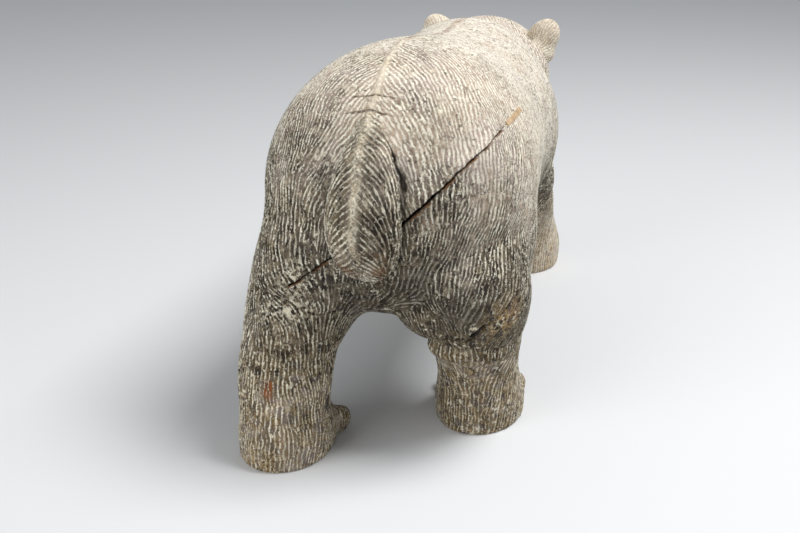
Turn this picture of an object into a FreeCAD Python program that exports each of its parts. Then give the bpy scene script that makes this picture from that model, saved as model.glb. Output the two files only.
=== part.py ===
import FreeCAD, Part
import math
import os

# Carved wooden bear, walking. Millimetres, +Z up, the bear faces -Y, its left side is +X.
# The origin is at the level of the soles, under the middle of the overall width and length.
# The carving is built up from glued and dowelled blocks: one body block with four leg stubs,
# four leg blocks, a head block, two ears and a tail.

Vector = FreeCAD.Vector
Rotation = FreeCAD.Rotation
Placement = FreeCAD.Placement

doc = FreeCAD.newDocument("bear")
SHEET = "Sizes"

SIZES = {
    # how far forward of the middle of the overall length the lengthwise stations are counted from
    "station_origin": 105.84,
    # body block
    "body_half_width": 106,
    "body_half_height": 102,
    "body_centre_height": 208,
    "rump_full_y": 84,
    "rump_cap_length": 86,
    "waist_y": -20,
    "shoulder_y": -150,
    "withers_y": -212,
    "neck_joint_y": -262,
    "neck_half_width": 65,
    "neck_half_height": 61,
    "neck_centre_height": 219,
    # head block
    "head_half_width": 60,
    "head_half_height": 49,
    "head_y": -298,
    "head_centre_height": 231,
    "muzzle_half_width": 25,
    "muzzle_half_height": 23,
    "muzzle_y": -384,
    "muzzle_centre_height": 206,
    "nose_tip_y": -412,
    # ears
    "ear_half_width": 17,
    "ear_half_height": 24,
    "ear_half_thickness": 9,
    "ear_spread": 53,
    # the carver set both ears a little to the right
    "ear_shift": -6,
    "ear_y": -296,
    "ear_centre_height": 261,
    "ear_seat_depth": 12,
    # legs
    "hind_joint_height": 86,
    "fore_joint_height": 104,
    "hind_spread": 66,
    "fore_spread": 46,
    # how far each sole stands outside the top of its leg
    "hind_left_splay": 7,
    "hind_right_splay": -1,
    "fore_splay": -3,
    "leg_half_width": 34,
    "leg_half_depth": 37,
    "thigh_half_width": 47,
    "thigh_half_depth": 64,
    "upper_arm_half_width": 40,
    "upper_arm_half_depth": 46,
    "toe_reach": 14,
    "hind_left_heel_shift": 163,
    "hind_right_heel_shift": 60,
    "fore_left_heel_shift": -234,
    "fore_right_heel_shift": -334,
    "hip_y": 98,
    "shoulder_joint_y": -190,
    # tail
    "tail_top_height": 284,
    "tail_tip_height": 150,
    "tail_half_width": 29,
    "tail_half_thickness": 21,
    "tail_shift": 4,
    "tail_seat_y": 158,
    "tail_seat_foot_height": 90,
    # dowels
    "leg_dowel_radius": 6,
    "leg_dowel_length": 56,
    "leg_dowel_spacing": 32,
    "neck_dowel_radius": 8,
    "neck_dowel_length": 70,
    "neck_dowel_spacing": 60,
    "ear_dowel_radius": 2.5,
    "ear_dowel_length": 24,
    "tail_dowel_radius": 4,
    "tail_dowel_length": 30,
    "tail_dowel_low_height": 190,
    "tail_dowel_low_end_y": 144,
    "tail_dowel_high_height": 240,
    "tail_dowel_high_end_y": 131,
    "dowel_end_room": 1,
    # eyes
    "eye_radius": 6,
    "eye_spread": 28,
    "eye_y": -348,
    "eye_height": 243,
    # drying check in the rump
    "check_half_length": 64,
    "check_depth": 52,
    "check_half_opening": 1.3,
    "check_shift": -43,
    "check_y": 120,
    "check_height": 218,
    "fork_half_length": 24,
    "fork_depth": 18,
    "fork_half_opening": 0.8,
    "fork_shift": 45,
    "fork_y": 163,
    "fork_height": 158,
    # filler strip beside the check, and the peg in the right hind leg
    "filler_width": 4,
    "filler_length": 44,
    "filler_depth": 9,
    "filler_shift": -90,
    "filler_y": 69,
    "filler_height": 262,
    "peg_radius": 3.5,
    "peg_length": 10,
    "peg_height": 62,
    "peg_end_y": 108,
}

sheet = doc.addObject("Spreadsheet::Sheet", SHEET)
for row, (alias, value) in enumerate(SIZES.items(), start=1):
    sheet.set(f"A{row}", alias)
    sheet.set(f"B{row}", str(value))
    sheet.setAlias(f"B{row}", alias)
doc.recompute()


def cell(alias):
    """The expression that reads one driving dimension."""
    return f"{SHEET}.{alias}"


def bind(obj, **expressions):
    """Tie properties of a document object to expressions."""
    for name, expression in expressions.items():
        obj.setExpression(name, expression)


def put_at(obj, x, y, z, rotation=None):
    """Give an object a rotation, and a position written as three expressions.

    y is a lengthwise station; the origin itself is under the middle of the overall length.
    """
    obj.Placement = Placement(Vector(0, 0, 0), rotation or Rotation())
    station = f"{y} + {cell('station_origin')}"
    for axis, expression in zip("xyz", (x, station, z)):
        obj.setExpression(f"Placement.Base.{axis}", expression)


# Section planes. An upright section is square to the bear's length, with its long axis across;
# a level section is square to the height, with its long axis fore and aft.
UPRIGHT = Rotation(Vector(1, 0, 0), 90)
LEVEL = Rotation(Vector(0, 0, 1), 90)
LEVEL_ACROSS = Rotation()


def ring(name, major, minor, x, y, z, rotation):
    """One elliptical section of a loft."""
    section = doc.addObject("Part::Ellipse", name)
    bind(section, MajorRadius=major, MinorRadius=minor)
    put_at(section, x, y, z, rotation)
    return section


def loft(name, sections):
    """A solid through a list of sections."""
    body = doc.addObject("Part::Loft", name)
    body.Sections = sections
    body.Solid = True
    body.Ruled = False
    body.MaxDegree = 3
    return body


def fuse(name, pieces):
    joined = doc.addObject("Part::MultiFuse", name)
    joined.Shapes = pieces
    return joined


def cut(name, base, tools):
    """Base with every tool taken away."""
    tool = tools[0] if len(tools) == 1 else fuse(name + "_tools", tools)
    result = doc.addObject("Part::Cut", name)
    result.Base = base
    result.Tool = tool
    return result


def common(name, first, second):
    result = doc.addObject("Part::MultiCommon", name)
    result.Shapes = [first, second]
    return result


def ellipsoid(name, half_x, half_y, half_z, x, y, z, rotation=None):
    shape = doc.addObject("Part::Ellipsoid", name)
    bind(shape, Radius1=half_z, Radius2=half_x, Radius3=half_y)
    put_at(shape, x, y, z, rotation)
    return shape


def cylinder(name, radius, length, x, y, z, rotation=None):
    shape = doc.addObject("Part::Cylinder", name)
    bind(shape, Radius=radius, Height=length)
    put_at(shape, x, y, z, rotation)
    return shape


def slab(name, bottom, top):
    """A block wider than the bear between two heights, used to part a leg at its joint."""
    reach = 1200
    box = doc.addObject("Part::Box", name)
    bind(box, Length=str(reach), Width=str(reach), Height=f"({top}) - ({bottom})")
    put_at(box, str(-reach / 2), str(-reach / 2), bottom)
    return box


# ---------------------------------------------------------------- torso

RUMP_STEPS = 5
RUMP_SWEEP = 84    # degrees; the last section is left small instead of closing to a point
RUMP_SAG = 10      # millimetres the middle of the last section stands below the others


def make_torso():
    """The barrel of the body: a rounded rump, then sections forward to the flat neck joint."""
    sections = []
    # the rump closes like a quarter ellipse, swept in even steps of angle
    for k in range(RUMP_STEPS):
        angle = math.radians(RUMP_SWEEP - RUMP_SWEEP * k / (RUMP_STEPS - 1))
        size = math.cos(angle)
        reach = math.sin(angle)
        sections.append(ring(
            f"rump_ring_{k}",
            f"{cell('body_half_width')} * {size:.4f}",
            f"{cell('body_half_height')} * {size:.4f}",
            "0",
            f"{cell('rump_full_y')} + {cell('rump_cap_length')} * {reach:.4f}",
            f"{cell('body_centre_height')} - {RUMP_SAG * reach:.2f}",
            UPRIGHT,
        ))
    # (name, station, width and height as a share of the rump, lift of the centre)
    stations = [
        ("waist", "waist_y", 0.95, 0.95, 2),
        ("shoulder", "shoulder_y", 0.88, 0.88, -4),
        ("withers", "withers_y", 0.77, 0.76, 2),
    ]
    for name, station, width, height, lift in stations:
        sections.append(ring(
            f"{name}_ring",
            f"{cell('body_half_width')} * {width}",
            f"{cell('body_half_height')} * {height}",
            "0",
            cell(station),
            f"{cell('body_centre_height')} + {lift}",
            UPRIGHT,
        ))
    sections.append(ring(
        "neck_ring",
        cell("neck_half_width"),
        cell("neck_half_height"),
        "0",
        cell("neck_joint_y"),
        cell("neck_centre_height"),
        UPRIGHT,
    ))
    return loft("torso", sections)


# ---------------------------------------------------------------- legs

# Sections of a leg from the sole up. Each is (height as a share of the joint height, share of the
# toes' forward reach, share of the way from the foot to the hip, half width and half depth as shares
# of the leg, blend to the thigh).
LEG_STEPS = [
    (0.00, 0.9, 0.00, 0.96, 1.20, 0.00),
    (0.10, 1.0, 0.00, 1.09, 1.36, 0.00),
    (0.26, 0.9, 0.00, 1.10, 1.34, 0.00),
    (0.46, 0.4, 0.03, 1.00, 1.10, 0.00),
    (0.68, 0.0, 0.14, 0.97, 0.98, 0.10),
    (1.00, 0.0, 0.36, 1.00, 1.00, 0.38),
    (1.50, 0.0, 0.84, 0.98, 0.96, 0.95),
    (2.00, 0.0, 1.00, 0.62, 0.70, 1.00),
]
JOINT_STEP = LEG_STEPS[5]


def make_leg(name, side, spread, splay, joint, foot, top, wide, deep):
    """The whole outline of a leg from the sole up into the body, before it is parted."""
    sections = []
    for k, (rise, toes, forward, width, depth, blend) in enumerate(LEG_STEPS):
        half_width = (f"({cell('leg_half_width')} * {1 - blend:.2f}"
                      f" + {cell(wide)} * {blend:.2f}) * {width}")
        half_depth = (f"({cell('leg_half_depth')} * {1 - blend:.2f}"
                      f" + {cell(deep)} * {blend:.2f}) * {depth}")
        sections.append(ring(
            f"{name}_ring_{k}",
            half_depth,
            half_width,
            f"{side} * ({cell(spread)} + {cell(splay)} * {1 - forward:.2f})",
            f"{cell(foot)} * {1 - forward:.2f} + {cell(top)} * {forward:.2f}"
            f" - {cell('toe_reach')} * {toes}",
            f"{cell(joint)} * {rise}",
            LEVEL,
        ))
    return loft(f"{name}_column", sections)


def make_leg_block(name, joint, column):
    """The separate lower leg, flat at the sole and at the glue joint."""
    return common(f"{name}_blank", column, slab(f"{name}_below", "0", cell(joint)))


def make_stub(name, joint, column):
    """The part of the leg outline that belongs to the body block."""
    overhang = 200
    return common(f"{name}_stub", column, slab(f"{name}_above", cell(joint), f"{cell(joint)} + {overhang}"))


LEGS = {
    "hind_leg_left": (1, "hind_spread", "hind_left_splay", "hind_joint_height", "hind_left_heel_shift",
                      "hip_y", "thigh_half_width", "thigh_half_depth"),
    "hind_leg_right": (-1, "hind_spread", "hind_right_splay", "hind_joint_height", "hind_right_heel_shift",
                       "hip_y", "thigh_half_width", "thigh_half_depth"),
    "foreleg_left": (1, "fore_spread", "fore_splay", "fore_joint_height", "fore_left_heel_shift",
                     "shoulder_joint_y", "upper_arm_half_width", "upper_arm_half_depth"),
    "foreleg_right": (-1, "fore_spread", "fore_splay", "fore_joint_height", "fore_right_heel_shift",
                      "shoulder_joint_y", "upper_arm_half_width", "upper_arm_half_depth"),
}


def leg_dowels(name, side, spread, splay, joint, foot, top, room, suffix):
    """Two dowels across one leg joint, one behind the other, leaning with the leg.

    room lengthens both ends, for the bore.
    """
    at_joint = JOINT_STEP[2]
    # how far the leg runs back for each millimetre it rises, just around the joint
    below, above = LEG_STEPS[4], LEG_STEPS[6]
    run = (above[2] - below[2]) * (SIZES[top] - SIZES[foot])
    rise = (above[0] - below[0]) * SIZES[joint]
    lean = math.atan2(run, rise)
    half = f"({cell('leg_dowel_length')} / 2 + {room})"
    pins = []
    for place in (-0.5, 0.5):
        pins.append(cylinder(
            f"{name}_{suffix}_{'front' if place < 0 else 'back'}",
            cell("leg_dowel_radius"),
            f"2 * {half}",
            f"{side} * ({cell(spread)} + {cell(splay)} * {1 - at_joint:.2f})",
            f"{cell(foot)} * {1 - at_joint:.2f} + {cell(top)} * {at_joint:.2f}"
            f" + {cell('leg_dowel_spacing')} * {place} - {half} * {math.sin(lean):.5f}",
            f"{cell(joint)} - {half} * {math.cos(lean):.5f}",
            Rotation(Vector(1, 0, 0), -math.degrees(lean)),
        ))
    return pins


# ---------------------------------------------------------------- head and ears

# Sections between the skull and the nose, as shares of the skull or of the muzzle.
BROW_SHARE = 0.80
STOP_SHARE = 1.2
LIP_SHARE = 0.72
NOSE_SHARE = 0.30


def make_head_outline():
    """Neck, skull and muzzle as one loft from the flat neck joint to the nose."""
    sections = [
        ring("head_ring_neck", cell("neck_half_width"), cell("neck_half_height"),
             "0", cell("neck_joint_y"), cell("neck_centre_height"), UPRIGHT),
        ring("head_ring_skull", cell("head_half_width"), cell("head_half_height"),
             "0", cell("head_y"), cell("head_centre_height"), UPRIGHT),
        ring("head_ring_brow", f"{cell('head_half_width')} * {BROW_SHARE}",
             f"{cell('head_half_height')} * {BROW_SHARE}",
             "0", f"{cell('head_y')} * 0.5 + {cell('muzzle_y')} * 0.5 + 4",
             f"{cell('head_centre_height')} - 5", UPRIGHT),
        ring("head_ring_stop", f"{cell('muzzle_half_width')} * {STOP_SHARE}",
             f"{cell('muzzle_half_height')} * {STOP_SHARE}",
             "0", f"{cell('muzzle_y')} + 22", f"{cell('muzzle_centre_height')} + 4", UPRIGHT),
        ring("head_ring_muzzle", cell("muzzle_half_width"), cell("muzzle_half_height"),
             "0", cell("muzzle_y"), cell("muzzle_centre_height"), UPRIGHT),
        ring("head_ring_lip", f"{cell('muzzle_half_width')} * {LIP_SHARE}",
             f"{cell('muzzle_half_height')} * {LIP_SHARE}",
             "0", f"{cell('nose_tip_y')} + 8", cell("muzzle_centre_height"), UPRIGHT),
        ring("head_ring_nose", f"{cell('muzzle_half_width')} * {NOSE_SHARE}",
             f"{cell('muzzle_half_height')} * {NOSE_SHARE}",
             "0", cell("nose_tip_y"), cell("muzzle_centre_height"), UPRIGHT),
    ]
    return loft("head_outline", sections)


EAR_LEAN = 38    # degrees each ear leans outwards
EAR_TURN = 18    # degrees each ear turns to face outwards


def ear_rotation(side):
    return Rotation(Vector(0, 0, 1), side * EAR_TURN).multiply(Rotation(Vector(0, 1, 0), side * EAR_LEAN))


def make_ear(name, side):
    """A rounded ear, flat below where it sits in its mortise in the skull."""
    blank = ellipsoid(
        f"{name}_round",
        cell("ear_half_width"),
        cell("ear_half_thickness"),
        cell("ear_half_height"),
        f"{side} * {cell('ear_spread')} + {cell('ear_shift')}",
        cell("ear_y"),
        cell("ear_centre_height"),
        ear_rotation(side),
    )
    floor = f"{cell('ear_centre_height')} - {cell('ear_seat_depth')}"
    return common(f"{name}_blank", blank, slab(f"{name}_above", floor, f"{floor} + 80"))


def ear_dowel(name, side, room, suffix):
    return cylinder(
        f"{name}_{suffix}",
        cell("ear_dowel_radius"),
        f"{cell('ear_dowel_length')} + 2 * {room}",
        f"{side} * ({cell('ear_spread')} - 6) + {cell('ear_shift')}",
        cell("ear_y"),
        f"{cell('ear_centre_height')} - {cell('ear_seat_depth')} - {cell('ear_dowel_length')} / 2 - {room}",
    )


def make_eye(name, side):
    """A whole bead, sunk so that only its outer cap shows."""
    bead = doc.addObject("Part::Sphere", name)
    bind(bead, Radius=cell("eye_radius"))
    put_at(bead, f"{side} * {cell('eye_spread')}", cell("eye_y"), cell("eye_height"))
    return bead


# ---------------------------------------------------------------- tail

TAIL_SEAT_TILT = 15    # degrees the flat seat of the tail leans forward at its top

# Sections of the tail from its tip up. Each is (share of the length from the tip, half width and half
# thickness as shares of the tail's own, station of the centre in millimetres, which follows the rump).
TAIL_STEPS = [
    (0.00, 0.24, 0.20, 152),
    (0.07, 0.70, 0.55, 160),
    (0.25, 1.00, 0.95, 166),
    (0.50, 0.98, 0.99, 167),
    (0.75, 0.68, 0.90, 154),
    (0.93, 0.42, 0.56, 134),
    (1.00, 0.16, 0.18, 122),
]


def make_tail():
    """A broad teardrop down the rump, with a flat back that lies in a flat seat."""
    sections = []
    for k, (share, width, thickness, station) in enumerate(TAIL_STEPS):
        sections.append(ring(
            f"tail_ring_{k}",
            f"{cell('tail_half_width')} * {width}",
            f"{cell('tail_half_thickness')} * {thickness}",
            cell("tail_shift"),
            str(station),
            f"{cell('tail_tip_height')} * {1 - share:.2f} + {cell('tail_top_height')} * {share:.2f}",
            LEVEL_ACROSS,
        ))
    outline = loft("tail_outline", sections)
    # the front face of this box is the flat of the seat; the box is wider and taller than the tail
    width, depth, height = 200, 120, 260
    seat = doc.addObject("Part::Box", "tail_seat_side")
    bind(seat, Length=str(width), Width=str(depth), Height=str(height))
    put_at(seat, str(-width / 2), cell("tail_seat_y"), cell("tail_seat_foot_height"),
           Rotation(Vector(1, 0, 0), TAIL_SEAT_TILT))
    return common("tail_blank", outline, seat)


def tail_dowel_pins(room, suffix):
    pins = []
    for level in ("low", "high"):
        pins.append(cylinder(
            f"tail_{suffix}_{level}",
            cell("tail_dowel_radius"),
            f"{cell('tail_dowel_length')} + 2 * {room}",
            cell("tail_shift"),
            f"{cell(f'tail_dowel_{level}_end_y')} + {room}",
            cell(f"tail_dowel_{level}_height"),
            Rotation(Vector(1, 0, 0), 90),
        ))
    return pins


def neck_dowel_pins(room, suffix):
    pins = []
    for side in (-1, 1):
        pins.append(cylinder(
            f"neck_{suffix}_{'left' if side > 0 else 'right'}",
            cell("neck_dowel_radius"),
            f"{cell('neck_dowel_length')} + 2 * {room}",
            f"{side} * {cell('neck_dowel_spacing')} / 2",
            f"{cell('neck_joint_y')} + {cell('neck_dowel_length')} / 2 + {room}",
            cell("neck_centre_height"),
            Rotation(Vector(1, 0, 0), 90),
        ))
    return pins


# ---------------------------------------------------------------- check, filler and peg

def make_check(name, half_length, depth, half_opening, x, y, z, slope):
    """A lens-shaped drying check that runs with the grain, down to the left by slope degrees."""
    return ellipsoid(name, cell(half_length), cell(depth), cell(half_opening),
                     cell(x), cell(y), cell(z), Rotation(Vector(0, 1, 0), slope))


CHECK_SLOPE = 45
FORK_SLOPE = 37
FILLER_TURN = -57    # degrees, so that the strip stands square to the flank


def make_filler(torso):
    """A thin strip let into the flank beside the upper end of the check, flush with the surface."""
    proud = 6
    strip = doc.addObject("Part::Box", "filler_bar")
    bind(strip, Length=cell("filler_width"), Width=cell("filler_length"),
         Height=f"{cell('filler_depth')} + {proud}")
    out = math.radians(FILLER_TURN)
    depth = cell("filler_depth")
    put_at(strip,
           f"{cell('filler_shift')} - {depth} * {math.sin(out):.5f}",
           f"{cell('filler_y')} - {cell('filler_length')} / 2",
           f"{cell('filler_height')} - {depth} * {math.cos(out):.5f}",
           Rotation(Vector(0, 1, 0), FILLER_TURN))
    return common("filler_blank", strip, torso)


def make_peg(leg_blank):
    """A round peg driven into the back of the right hind leg, cut flush."""
    proud = 6
    rod = cylinder("peg_rod", cell("peg_radius"), f"{cell('peg_length')} + {proud}",
                   f"-{cell('hind_spread')}", f"{cell('peg_end_y')} + {proud}", cell("peg_height"),
                   Rotation(Vector(1, 0, 0), 90))
    return common("peg_blank", rod, leg_blank)


# ---------------------------------------------------------------- build

torso = make_torso()
head_outline = make_head_outline()
NO_ROOM = "0"
ROOM = cell("dowel_end_room")

stubs = []
leg_blanks = {}
leg_pins = {}
leg_holes = {}
for leg, (side, spread, splay, joint, foot, top, wide, deep) in LEGS.items():
    column = make_leg(leg, side, spread, splay, joint, foot, top, wide, deep)
    leg_blanks[leg] = make_leg_block(leg, joint, column)
    stubs.append(make_stub(leg, joint, column))
    leg_pins[leg] = leg_dowels(leg, side, spread, splay, joint, foot, top, NO_ROOM, "dowel")
    leg_holes[leg] = leg_dowels(leg, side, spread, splay, joint, foot, top, ROOM, "bore")

tail_blank = make_tail()
tail_pins = tail_dowel_pins(NO_ROOM, "dowel")
tail_bores = tail_dowel_pins(ROOM, "bore")
neck_pins = neck_dowel_pins(NO_ROOM, "dowel")
neck_bores = neck_dowel_pins(ROOM, "bore")
ear_blanks = {"ear_left": make_ear("ear_left", 1), "ear_right": make_ear("ear_right", -1)}
ear_pins = {"ear_left": ear_dowel("ear_left", 1, NO_ROOM, "dowel"),
            "ear_right": ear_dowel("ear_right", -1, NO_ROOM, "dowel")}
ear_bores = {"ear_left": ear_dowel("ear_left", 1, ROOM, "bore"),
             "ear_right": ear_dowel("ear_right", -1, ROOM, "bore")}
eyes = {"eye_left": make_eye("eye_left_bead", 1), "eye_right": make_eye("eye_right_bead", -1)}

check = make_check("check", "check_half_length", "check_depth", "check_half_opening",
                   "check_shift", "check_y", "check_height", CHECK_SLOPE)
fork = make_check("fork", "fork_half_length", "fork_depth", "fork_half_opening",
                  "fork_shift", "fork_y", "fork_height", FORK_SLOPE)
filler = make_filler(torso)
peg = make_peg(leg_blanks["hind_leg_right"])

body_whole = fuse("body_whole", [torso] + stubs)
all_leg_holes = [hole for holes in leg_holes.values() for hole in holes]
body_solid = cut("body_solid", body_whole,
                 [tail_blank, filler] + tail_bores + neck_bores + all_leg_holes)
body_checked = cut("body_checked", body_solid, [check])
body = cut("body", body_checked, [fork])
head = cut("head", head_outline,
           neck_bores + list(ear_blanks.values()) + list(ear_bores.values()) + list(eyes.values()))
tail = cut("tail_piece", tail_blank, tail_bores)
leg_voids = {leg: list(holes) for leg, holes in leg_holes.items()}
leg_voids["hind_leg_right"].append(peg)
legs = {leg: cut(f"{leg}_piece", blank, leg_voids[leg]) for leg, blank in leg_blanks.items()}
ears = {ear: cut(f"{ear}_piece", blank, [ear_bores[ear]]) for ear, blank in ear_blanks.items()}


def group(name, solids):
    """Several like pieces kept as separate solids under one name."""
    bundle = doc.addObject("Part::Compound", name)
    bundle.Links = solids
    return bundle


parts = {
    "body_block": body,
    "head_block": head,
    "tail": tail,
    "filler_strip": filler,
    "leg_peg": peg,
    "leg_dowels": group("leg_dowel_set", [pin for pins in leg_pins.values() for pin in pins]),
    "neck_dowels": group("neck_dowel_set", neck_pins),
    "ear_dowels": group("ear_dowel_set", list(ear_pins.values())),
    "tail_dowels": group("tail_dowel_set", tail_pins),
}
parts.update(legs)
parts.update(ears)
parts.update(eyes)
for label, obj in parts.items():
    obj.Label = label

doc.recompute()

for obj in doc.Objects:
    if "Invalid" in obj.State or "Error" in obj.State:
        raise RuntimeError(f"{obj.Name} did not rebuild: {obj.State}")
for label, obj in parts.items():
    if obj.Shape.isNull() or not obj.Shape.isValid():
        raise RuntimeError(f"{label} has no valid shape")

os.makedirs("parts", exist_ok=True)
for label, obj in parts.items():
    obj.Shape.exportStep(f"parts/{label}.step")
    box = obj.Shape.BoundBox
    print(label, len(obj.Shape.Solids), round(obj.Shape.Volume),
          [round(v, 1) for v in (box.XMin, box.XMax, box.YMin, box.YMax, box.ZMin, box.ZMax)])
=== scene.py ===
import itertools
import math

import bmesh
import bpy
import numpy as np
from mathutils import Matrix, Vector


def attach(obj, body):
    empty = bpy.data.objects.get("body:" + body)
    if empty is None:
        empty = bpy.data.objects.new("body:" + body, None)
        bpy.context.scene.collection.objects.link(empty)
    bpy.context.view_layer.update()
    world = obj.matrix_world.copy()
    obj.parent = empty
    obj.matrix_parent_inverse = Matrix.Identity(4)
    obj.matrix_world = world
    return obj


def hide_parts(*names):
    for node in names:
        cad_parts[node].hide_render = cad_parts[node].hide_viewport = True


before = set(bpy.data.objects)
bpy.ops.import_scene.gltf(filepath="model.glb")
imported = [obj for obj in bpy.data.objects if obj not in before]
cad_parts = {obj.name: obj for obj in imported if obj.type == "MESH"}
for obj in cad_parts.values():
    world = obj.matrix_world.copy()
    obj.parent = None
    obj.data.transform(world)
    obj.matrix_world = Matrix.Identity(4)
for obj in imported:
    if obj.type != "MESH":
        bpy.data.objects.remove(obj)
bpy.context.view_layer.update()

import openvdb

# Everything below is laid out in millimetres, with lengthwise stations counted from the middle of
# the rear half of the body, as the carving was set out. The frame's origin is this far in front.
STATION_ORIGIN = 105.84
MM = 0.001

FAR = 60.0  # distance given to places far from any surface
BAND = 9.0  # voxels on either side of a surface where distances are true
# size of the noise table, and large primes that scatter places over it
TABLE = 4096
HASH = (73856093, 19349663, 83492791)


# ---- small helpers

def unit(v):
    return v / np.maximum(np.linalg.norm(v, axis=-1, keepdims=True), 1e-9)


def ramp(x, low, high):
    """0 below low, 1 above high, smooth between."""
    t = np.clip((x - low) / (high - low), 0.0, 1.0)
    return t * t * (3.0 - 2.0 * t)


def corners(t):
    """The eight corners of a cell, each with its share in a blend."""
    for corner in np.ndindex(2, 2, 2):
        share = 1.0
        for k in range(3):
            share = share * (t[:, k] if corner[k] else 1 - t[:, k])
        yield corner, share


def noise(points, size, seed):
    """Smooth noise between -1 and 1 with features of about the given size."""
    table = np.random.default_rng(seed).uniform(-1.0, 1.0, TABLE).astype(np.float32)
    q = points / size
    cell = np.floor(q).astype(np.int64)
    total = np.zeros(len(points), np.float32)
    for corner, share in corners(ramp(q - cell, 0, 1)):
        key = 0
        for k in range(3):
            key = key ^ ((cell[:, k] + corner[k]) * HASH[k])
        total += table[key & (TABLE - 1)] * share
    return total


def away(p, spot, size):
    """Squared distance from a spot, with the given size as its unit."""
    return np.sum(((p - np.array(spot)) / size) ** 2, axis=1)


def glow(p, spot, size):
    """1 at a spot, fading over the given size to all sides."""
    return np.exp(-away(p, spot, size))


def bell(value, width):
    """1 where a value is zero, fading over the given width."""
    return np.exp(-(value / width) ** 2)


def put(name, data):
    """A new object in the scene."""
    holder = bpy.data.objects.new(name, data)
    bpy.context.collection.objects.link(holder)
    return holder


# ---- solid shapes as distance fields

class Field:
    """A signed distance sampled on a box of voxels; negative inside."""

    def __init__(self, low, high, voxel):
        self.voxel = voxel
        self.start = np.floor(np.array(low) / voxel).astype(int)
        self.size = np.ceil(np.array(high) / voxel).astype(int) - self.start + 1
        self.axes = [(self.start[k] + np.arange(self.size[k])) * voxel for k in range(3)]
        self.x, self.y, self.z = np.meshgrid(*self.axes, indexing="ij", sparse=True)
        self.value = np.full(self.size, FAR, np.float32)

    def from_node(self, name):
        """Distance to one CAD node."""
        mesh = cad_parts[name].data
        points = np.empty(len(mesh.vertices) * 3, np.float32)
        mesh.vertices.foreach_get("co", points)
        points = points.reshape(-1, 3) / MM
        points[:, 1] -= STATION_ORIGIN
        mesh.calc_loop_triangles()
        triangles = np.empty(len(mesh.loop_triangles) * 3, np.int32)
        mesh.loop_triangles.foreach_get("vertices", triangles)
        grid = openvdb.FloatGrid.createLevelSetFromPolygons(
            (points / self.voxel).astype(np.float32),
            triangles=triangles.reshape(-1, 3).astype(np.uint32),
            transform=openvdb.createLinearTransform(1.0),
            halfWidth=BAND,
        )
        out = np.empty(self.size, np.float32)
        grid.copyToArray(out, ijk=tuple(int(v) for v in self.start))
        return out * self.voxel

    def ellipsoid(self, centre, radii, turn=0.0):
        """Distance to an ellipsoid turned about the upright axis, in degrees."""
        x, y, z = self.x - centre[0], self.y - centre[1], self.z - centre[2]
        c, s = math.cos(math.radians(turn)), math.sin(math.radians(turn))
        x, y = c * x + s * y, -s * x + c * y
        k0 = np.sqrt((x / radii[0]) ** 2 + (y / radii[1]) ** 2 + (z / radii[2]) ** 2)
        k1 = np.sqrt((x / radii[0] ** 2) ** 2 + (y / radii[1] ** 2) ** 2 + (z / radii[2] ** 2) ** 2)
        return (k0 * (k0 - 1.0) / np.maximum(k1, 1e-6)).astype(np.float32)

    def soften(self, spread):
        """Blur the field over a distance, which rounds inner corners as a carver would."""
        sigma = spread / self.voxel
        reach = int(math.ceil(3 * sigma))
        taps = np.exp(-0.5 * (np.arange(-reach, reach + 1) / sigma) ** 2).astype(np.float32)
        taps /= taps.sum()
        for axis in range(3):
            pad = [(0, 0)] * 3
            pad[axis] = (reach, reach)
            wide = np.pad(self.value, pad, mode="edge")
            out = np.zeros_like(self.value)
            for k, tap in enumerate(taps):
                part = [slice(None)] * 3
                part[axis] = slice(k, k + self.value.shape[axis])
                out += tap * wide[tuple(part)]
            self.value = out

    def sample(self, points):
        """Field value at any points."""
        return self._read(self.value, points)

    def _read(self, values, points):
        q = points / self.voxel - self.start
        q = np.clip(q, 0, np.array(values.shape) - 1.001)
        i = np.floor(q).astype(np.int64)
        t = (q - i).astype(np.float32)
        out = 0.0
        for corner, share in corners(t):
            out = out + share * values[tuple((i + corner).T)]
        return out

    def points(self):
        """The places of all voxels, one row each."""
        return np.stack([g.ravel() for g in np.meshgrid(*self.axes, indexing="ij")], axis=1)

    def normals(self, points):
        if not hasattr(self, "slopes"):
            self.slopes = np.gradient(self.value)
        return unit(np.stack([self._read(s, points) for s in self.slopes], axis=1))

    def surface(self):
        """Quads of the zero surface, and for each its corner points."""
        grid = openvdb.FloatGrid(FAR)
        grid.copyFromArray(self.value, ijk=tuple(int(v) for v in self.start))
        points, quads = grid.convertToQuads(0.0)
        return points.astype(np.float64) * self.voxel, quads.astype(np.int64)


def blend(a, b, width):
    """Union of two fields with a rounded inner corner."""
    t = np.clip(0.5 + 0.5 * (b - a) / width, 0.0, 1.0)
    return b * (1 - t) + a * t - width * t * (1 - t)


def carve_away(a, b, width):
    """Field a with field b removed, the new edge rounded."""
    return -blend(-a, b, width)


EARS = {1: "ear_left", -1: "ear_right"}
# middles of the feet: hind left, hind right, fore left, fore right
FEET = ((73, 149), (-65, 46), (43, -248), (-43, -348))
# five toes on each foot, from one side (-1) to the other (1)
TOES = (-1.0, -0.5, 0.0, 0.5, 1.0)
TOE_CUTS = (-0.75, -0.25, 0.25, 0.75)
TOE_RADII = (8.2, 14.0, 12.0)
TOE_HEIGHT = 11
TOE_REACH = 45  # how far the middle toe stands in front of the middle of the foot
TOE_ARC = 12    # how far the outermost toes stand back from it
TOE_FAN = 32    # degrees the outermost toes point outwards


def toe_side(foot_x, reach):
    """How far to the side a toe stands; the toes fan out further on the inner side of the foot."""
    inner = reach * foot_x < 0
    return reach * (31 if inner else 23)


CLOSE_GAPS = 1.8  # how far each block is swollen, then shrunk, to close bores and slots
SOLE_SLICE = 7.0  # the level of the legs that is run on below the floor
RUMP_CENTRE = (0, 84, 203)
RUMP_RADII = (105, 85, 100)


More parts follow.
